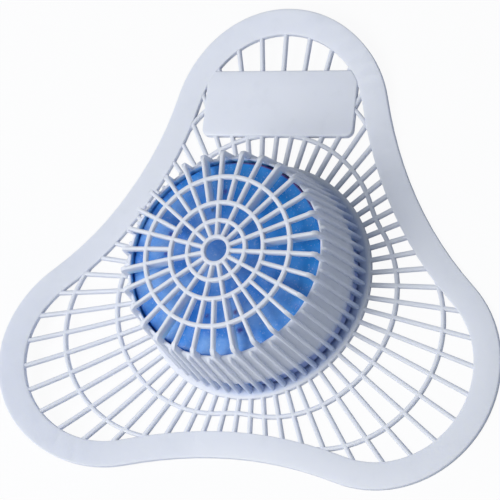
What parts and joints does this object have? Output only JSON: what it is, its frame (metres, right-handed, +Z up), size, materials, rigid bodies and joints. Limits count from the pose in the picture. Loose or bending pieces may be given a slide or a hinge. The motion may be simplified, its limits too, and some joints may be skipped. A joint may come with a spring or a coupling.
{
  "type": "urinal deodorizer screen",
  "caption": "Flexible three-lobed drain screen with a ribbed lattice flange and a finned, grilled basket that holds a round deodorant block over the waste.",
  "frame": {"origin": "middle of the outline on the plane that the screen rests on", "axes": "+Z up through the basket, +Y towards the lobe with the label pad, +X across the other two lobes"},
  "size_m": [0.2066, 0.1914, 0.0428],
  "materials": {
    "soft_white_plastic": "soft moulded vinyl, bluish white, satin, with rounded edges",
    "blue_block": "pressed deodorant block, waxy blue with pale grains, darker dye spots and a damp gloss"
  },
  "bodies": {
    "root": {"screen": "soft_white_plastic", "deodorant_block": "blue_block"}
  },
  "joints": []
}
